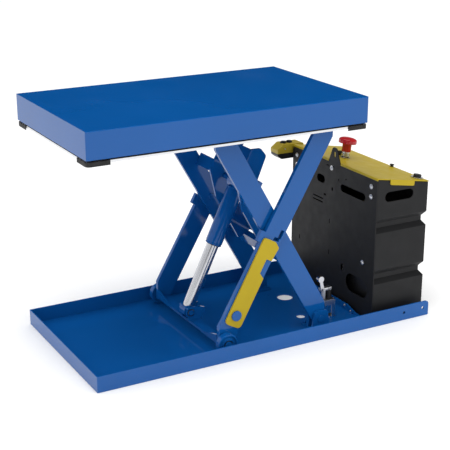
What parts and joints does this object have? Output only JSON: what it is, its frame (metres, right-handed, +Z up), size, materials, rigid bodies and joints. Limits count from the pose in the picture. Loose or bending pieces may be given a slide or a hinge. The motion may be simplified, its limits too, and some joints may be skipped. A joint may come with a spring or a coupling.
{
  "type": "scissor lift table",
  "caption": "Battery-powered scissor lift table: flat deck on crossed legs, hydraulic cylinder, pan base and a power unit with a pendant control.",
  "frame": {"origin": "underside of the pan, in the middle of its length and width", "axes": "+Z up, +X along the table towards the power unit, -Y the side with the maintenance prop"},
  "size_m": [1.188, 0.5878, 0.764],
  "materials": {
    "blue_paint": "glossy blue enamel",
    "black_sheet": "satin black powder coat",
    "yellow_paint": "satin yellow powder coat",
    "chrome": "polished chrome",
    "zinc_steel": "zinc plated steel",
    "dark_steel": "dark machined steel",
    "aluminium": "satin aluminium",
    "black_rubber": "matt moulded rubber",
    "black_plastic": "fine-textured moulded plastic",
    "yellow_plastic": "fine-textured moulded plastic",
    "red_plastic": "smooth moulded plastic",
    "grey_plastic": "moulded plastic",
    "clear_plastic": "clear moulded plastic"
  },
  "bodies": {
    "base": {"base_pan": "blue_paint", "unit_stop_angle": "blue_paint", "base_hinge_bracket_front": "blue_paint", "base_hinge_bracket_back": "blue_paint", "base_hinge_pin_front": "blue_paint", "base_hinge_pin_back": "blue_paint", "unit_front_plate": "black_sheet", "unit_cover": "black_sheet", "pendant_cradle": "black_sheet", "battery": "black_plastic", "oil_reservoir": "grey_plastic", "pump_block": "aluminium", "pump_motor": "dark_steel", "switch_bracket": "zinc_steel", "travel_switch": "black_plastic"},
    "inner_legs": {"inner_leg_front": "blue_paint", "inner_leg_back": "blue_paint", "inner_cross_bar": "blue_paint", "cylinder_bracket": "blue_paint", "upper_roller_axle": "zinc_steel"},
    "outer_legs": {"outer_leg_front": "blue_paint", "outer_leg_back": "blue_paint", "foot_cross_plate": "blue_paint", "centre_pin_front": "blue_paint", "centre_pin_back": "blue_paint", "ram_pin": "blue_paint", "prop_pin": "blue_paint"},
    "platform": {"platform_deck": "blue_paint", "roller_track_front": "blue_paint", "roller_track_back": "blue_paint", "deck_hinge_bracket_front": "blue_paint", "deck_hinge_bracket_back": "blue_paint", "deck_hinge_pin_front": "zinc_steel", "deck_hinge_pin_back": "zinc_steel"},
    "toe_guard": {"toe_guard_rail": "aluminium", "toe_guard_corner_front_left": "black_rubber", "toe_guard_corner_front_right": "black_rubber", "toe_guard_corner_back_left": "black_rubber", "toe_guard_corner_back_right": "black_rubber"},
    "ram": {"cylinder_ram": "chrome"},
    "barrel": {"cylinder_barrel": "blue_paint", "cylinder_pin": "blue_paint"},
    "lower_roller_front": {"lower_roller_front": "blue_paint"},
    "lower_roller_back": {"lower_roller_back": "blue_paint"},
    "upper_roller_front": {"upper_roller_front": "dark_steel"},
    "upper_roller_back": {"upper_roller_back": "dark_steel"},
    "prop": {"maintenance_prop": "yellow_paint"},
    "lid": {"unit_lid": "yellow_paint", "estop_collar": "chrome", "charge_socket": "black_plastic"},
    "estop_stem": {"estop_stem": "zinc_steel"},
    "estop_button": {"estop_button": "red_plastic"},
    "key_switch": {"key_switch": "black_plastic"},
    "pendant": {"pendant_case": "yellow_plastic", "pendant_base": "black_plastic"},
    "pendant_button_up": {"pendant_button_up": "black_plastic"},
    "pendant_button_down": {"pendant_button_down": "black_plastic"},
    "switch_lever": {"switch_lever": "chrome"}
  },
  "joints": [
    {"name": "lift", "type": "hinge", "parent": "base", "child": "inner_legs", "pos_m": [0.2124, 0, 0.038], "axis": [0, 1, 0], "range_deg": [-43, 0]},
    {"name": "scissor", "type": "hinge", "parent": "inner_legs", "child": "outer_legs", "pos_m": [0.03385, 0, 0.36549], "axis": [0, 1, 0], "range_deg": [0, 86]},
    {"name": "deck_pivot", "type": "hinge", "parent": "outer_legs", "child": "platform", "pos_m": [0.2124, 0, 0.69298], "axis": [0, 1, 0], "range_deg": [-43, 0]},
    {"name": "ram_pivot", "type": "hinge", "parent": "outer_legs", "child": "ram", "pos_m": [-0.1607, 0, 0.067], "axis": [0, 1, 0], "range_deg": [-7.81, 0]},
    {"name": "barrel_stroke", "type": "slide", "parent": "ram", "child": "barrel", "axis": [0.4223, 0, 0.9065], "range_m": [-0.1305, 0]},
    {"name": "toe_guard_press", "type": "slide", "parent": "platform", "child": "toe_guard", "axis": [0, 0, 1], "range_m": [0, 0.004], "stiffness_N_per_m": 3000},
    {"name": "prop_swing", "type": "hinge", "parent": "outer_legs", "child": "prop", "pos_m": [-0.10777, 0, 0.12037], "axis": [0, 1, 0], "range_deg": [0, 75]},
    {"name": "lower_roller_front_spin", "type": "hinge", "parent": "outer_legs", "child": "lower_roller_front", "pos_m": [-0.1447, -0.236, 0.038], "axis": [0, 1, 0], "continuous": true},
    {"name": "upper_roller_front_spin", "type": "hinge", "parent": "inner_legs", "child": "upper_roller_front", "pos_m": [-0.1447, -0.218, 0.69298], "axis": [0, 1, 0], "continuous": true},
    {"name": "lower_roller_back_spin", "type": "hinge", "parent": "outer_legs", "child": "lower_roller_back", "pos_m": [-0.1447, 0.236, 0.038], "axis": [0, 1, 0], "continuous": true},
    {"name": "upper_roller_back_spin", "type": "hinge", "parent": "inner_legs", "child": "upper_roller_back", "pos_m": [-0.1447, 0.218, 0.69298], "axis": [0, 1, 0], "continuous": true},
    {"name": "lid_open", "type": "hinge", "parent": "base", "child": "lid", "pos_m": [0.591, 0, 0.455], "axis": [0, 1, 0], "range_deg": [0, 75]},
    {"name": "estop_press", "type": "slide", "parent": "lid", "child": "estop_stem", "axis": [-0.1647, 0, -0.9863], "range_m": [0, 0.006]},
    {"name": "estop_twist", "type": "hinge", "parent": "estop_stem", "child": "estop_button", "pos_m": [0.471, 0.052, 0.47514], "axis": [0.1647, 0, 0.9863], "range_deg": [0, 45], "stiffness_Nm_per_rad": 0.05},
    {"name": "key_turn", "type": "hinge", "parent": "lid", "child": "key_switch", "pos_m": [0.48, 0.095, 0.47364], "axis": [0.1647, 0, 0.9863], "range_deg": [0, 90]},
    {"name": "pendant_lift", "type": "slide", "parent": "base", "child": "pendant", "axis": [0, 0, 1], "range_m": [0, 0.06]},
    {"name": "pendant_up_press", "type": "slide", "parent": "pendant", "child": "pendant_button_up", "axis": [0, 0, -1], "range_m": [0, 0.003], "stiffness_N_per_m": 400},
    {"name": "pendant_down_press", "type": "slide", "parent": "pendant", "child": "pendant_button_down", "axis": [0, 0, -1], "range_m": [0, 0.003], "stiffness_N_per_m": 400},
    {"name": "switch_lever_turn", "type": "hinge", "parent": "base", "child": "switch_lever", "pos_m": [0.253, -0.16, 0.11], "axis": [0, 1, 0], "range_deg": [0, 20], "stiffness_Nm_per_rad": 0.2}
  ],
  "couplings": [
    {"joint": "scissor", "follows": "lift", "ratio": -2},
    {"joint": "deck_pivot", "follows": "lift", "ratio": 1},
    {"joint": "ram_pivot", "follows": "lift", "ratio": 0.1814},
    {"joint": "barrel_stroke", "follows": "lift", "m_per_rad": 0.17374}
  ]
}
